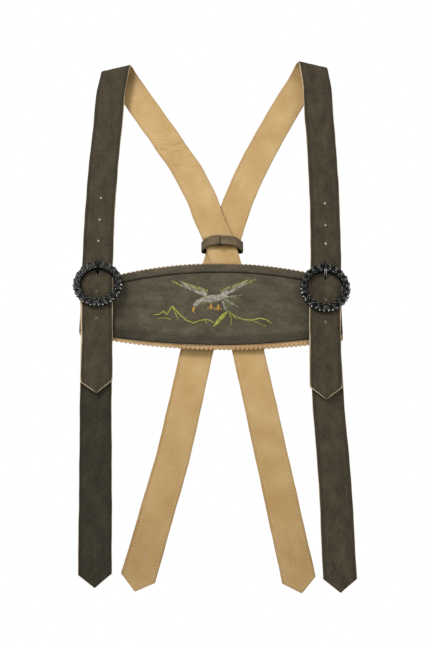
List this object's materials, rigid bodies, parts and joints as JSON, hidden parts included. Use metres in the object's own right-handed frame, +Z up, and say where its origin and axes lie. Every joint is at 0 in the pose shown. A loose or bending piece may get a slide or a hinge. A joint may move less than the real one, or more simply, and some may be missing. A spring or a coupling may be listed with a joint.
{
  "type": "suspenders",
  "caption": "Leather shoulder braces with a crossed back, an embroidered chest panel, round prong buckles and pointed buttonhole tabs.",
  "frame": {"origin": "on the shoulder line, midway between the two shoulder folds at the height of their inner tops", "axes": "+X to the right seen from the front, -Y the front, +Z up, as the suspenders hang"},
  "size_m": [0.3129, 0.0272, 0.6353],
  "materials": {
    "dark_suede": "matte dark olive-brown suede",
    "tan_lining": "smooth tan split leather",
    "panel_suede": "matte mottled olive-brown suede",
    "panel_backing": "tan leather with a pinked edge",
    "keeper_suede": "greyish tan suede",
    "blackened_metal": "blackened, worn bright on the high spots",
    "bar_steel": "plain steel",
    "prong_steel": "silvery, darkened at the tip",
    "black_thread": "waxed thread",
    "bird_thread": "satin stitch",
    "lime_thread": "satin stitch",
    "orange_thread": "satin stitch"
  },
  "bodies": {
    "back_section": {"left_shoulder_suede": "dark_suede", "left_shoulder_lining": "tan_lining", "right_shoulder_suede": "dark_suede", "right_shoulder_lining": "tan_lining"},
    "front_section": {"chest_panel_face": "panel_suede", "chest_panel_backing": "panel_backing", "panel_topstitch": "black_thread", "embroidery_bird": "bird_thread", "embroidery_ridge": "lime_thread", "embroidery_accent": "orange_thread", "left_front_suede": "dark_suede", "left_front_lining": "tan_lining", "left_tab_suede": "dark_suede", "left_tab_lining": "tan_lining", "right_front_suede": "dark_suede", "right_front_lining": "tan_lining", "right_tab_suede": "dark_suede", "right_tab_lining": "tan_lining"},
    "keeper": {"keeper_loop": "keeper_suede", "keeper_seam": "black_thread"},
    "left_buckle": {"left_buckle_frame": "blackened_metal", "left_buckle_bar": "bar_steel"},
    "left_prong": {"left_buckle_prong": "prong_steel"},
    "left_tail": {"left_tail_suede": "dark_suede", "left_tail_lining": "tan_lining"},
    "left_front_tab": {"left_tab_end_suede": "dark_suede", "left_tab_end_lining": "tan_lining"},
    "left_back_tab": {"left_back_tab_suede": "dark_suede", "left_back_tab_lining": "tan_lining"},
    "right_buckle": {"right_buckle_frame": "blackened_metal", "right_buckle_bar": "bar_steel"},
    "right_prong": {"right_buckle_prong": "prong_steel"},
    "right_tail": {"right_tail_suede": "dark_suede", "right_tail_lining": "tan_lining"},
    "right_front_tab": {"right_tab_end_suede": "dark_suede", "right_tab_end_lining": "tan_lining"},
    "right_back_tab": {"right_back_tab_suede": "dark_suede", "right_back_tab_lining": "tan_lining"}
  },
  "joints": [
    {"name": "shoulder_fold", "type": "hinge", "parent": "back_section", "child": "front_section", "pos_m": [0, -0.01, -0.019], "axis": [-1, 0, 0], "range_deg": [0, 45]},
    {"name": "keeper_slide", "type": "slide", "parent": "back_section", "child": "keeper", "axis": [0, 0, 1], "range_m": [-0.015, 0.001]},
    {"name": "left_buckle_rock", "type": "hinge", "parent": "front_section", "child": "left_buckle", "pos_m": [-0.1329, -0.0073, -0.293], "axis": [1, 0, 0], "range_deg": [-2, 2], "stiffness_Nm_per_rad": 0.05},
    {"name": "left_prong_pivot", "type": "hinge", "parent": "left_buckle", "child": "left_prong", "pos_m": [-0.1329, -0.0073, -0.293], "axis": [1, 0, 0], "range_deg": [0, 6]},
    {"name": "left_tail_flex", "type": "hinge", "parent": "front_section", "child": "left_tail", "pos_m": [-0.1317, -0.01, -0.327], "axis": [-0.999, 0, -0.0454], "range_deg": [0, 60]},
    {"name": "left_front_tab_flex", "type": "hinge", "parent": "front_section", "child": "left_front_tab", "pos_m": [-0.1275, -0.0074, -0.439], "axis": [-0.9993, 0, -0.0369], "range_deg": [-40, 40]},
    {"name": "left_back_tab_flex", "type": "hinge", "parent": "back_section", "child": "left_back_tab", "pos_m": [0.05747, 0.0036, -0.47], "axis": [-0.9811, 0, -0.1933], "range_deg": [-40, 40]},
    {"name": "right_buckle_rock", "type": "hinge", "parent": "front_section", "child": "right_buckle", "pos_m": [0.1244, -0.0073, -0.297], "axis": [1, 0, 0], "range_deg": [-2, 2], "stiffness_Nm_per_rad": 0.05},
    {"name": "right_prong_pivot", "type": "hinge", "parent": "right_buckle", "child": "right_prong", "pos_m": [0.1244, -0.0073, -0.297], "axis": [1, 0, 0], "range_deg": [0, 6]},
    {"name": "right_tail_flex", "type": "hinge", "parent": "front_section", "child": "right_tail", "pos_m": [0.1222, -0.01, -0.331], "axis": [-0.9995, 0, 0.0314], "range_deg": [0, 60]},
    {"name": "right_front_tab_flex", "type": "hinge", "parent": "front_section", "child": "right_front_tab", "pos_m": [0.12508, -0.0074, -0.446], "axis": [-1, 0, -0.0046], "range_deg": [-40, 40]},
    {"name": "right_back_tab_flex", "type": "hinge", "parent": "back_section", "child": "right_back_tab", "pos_m": [-0.04296, 0.0064, -0.48], "axis": [-0.9656, 0, 0.2602], "range_deg": [-40, 40]}
  ]
}
